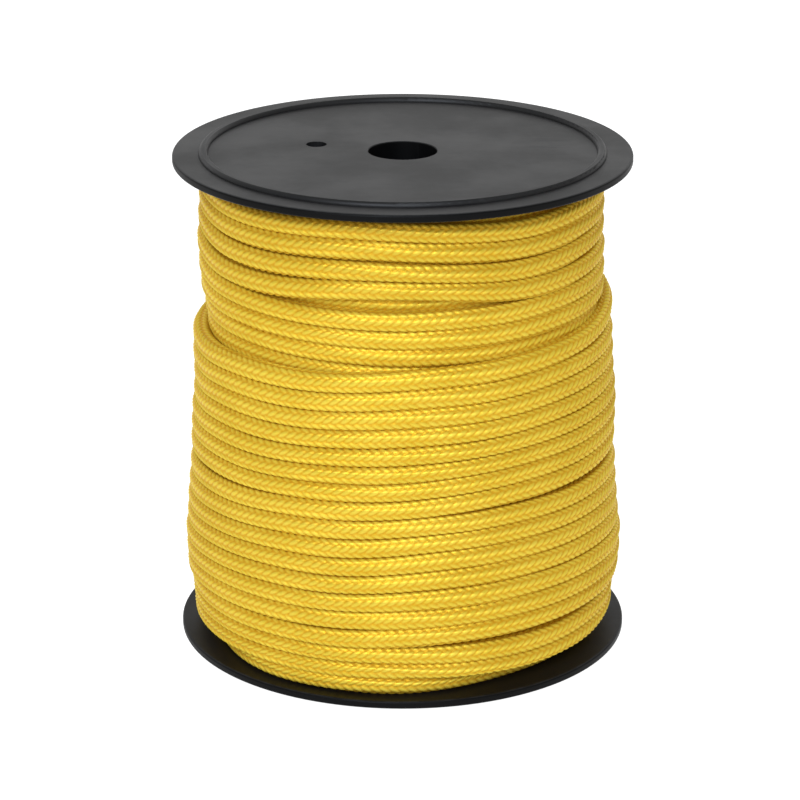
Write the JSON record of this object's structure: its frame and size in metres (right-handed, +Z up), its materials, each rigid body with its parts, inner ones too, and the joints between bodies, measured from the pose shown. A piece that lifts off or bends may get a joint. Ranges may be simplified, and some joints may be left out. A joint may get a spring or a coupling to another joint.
{
  "type": "cord spool",
  "caption": "Black flanged plastic spool filled with yellow braided cord: two disc flanges with a stacking bead, spindle bore and drive hole, on a hollow barrel with the cord wound in layers.",
  "frame": {"origin": "centre of the lower flange's stacking bead, on the plane that the spool stands on", "axes": "+Z up along the spool's axis; +X to the right and +Y away from a viewer in front; the drive hole is on the -X side"},
  "size_m": [0.2, 0.2, 0.2238],
  "materials": {
    "spool_plastic": "fine moulded grain, satin",
    "cord": "braided polypropylene, soft sheen",
    "tape": "cream crepe masking tape, fine creases"
  },
  "bodies": {
    "root": {"top_flange": "spool_plastic", "bottom_flange": "spool_plastic", "barrel": "spool_plastic", "cord_layer_1": "cord", "cord_layer_2": "cord", "cord_layer_3": "cord", "cord_layer_4": "cord", "cord_layer_5": "cord", "cord_layer_6": "cord", "cord_layer_7": "cord", "cord_free_end": "cord", "end_tape": "tape"}
  },
  "joints": []
}
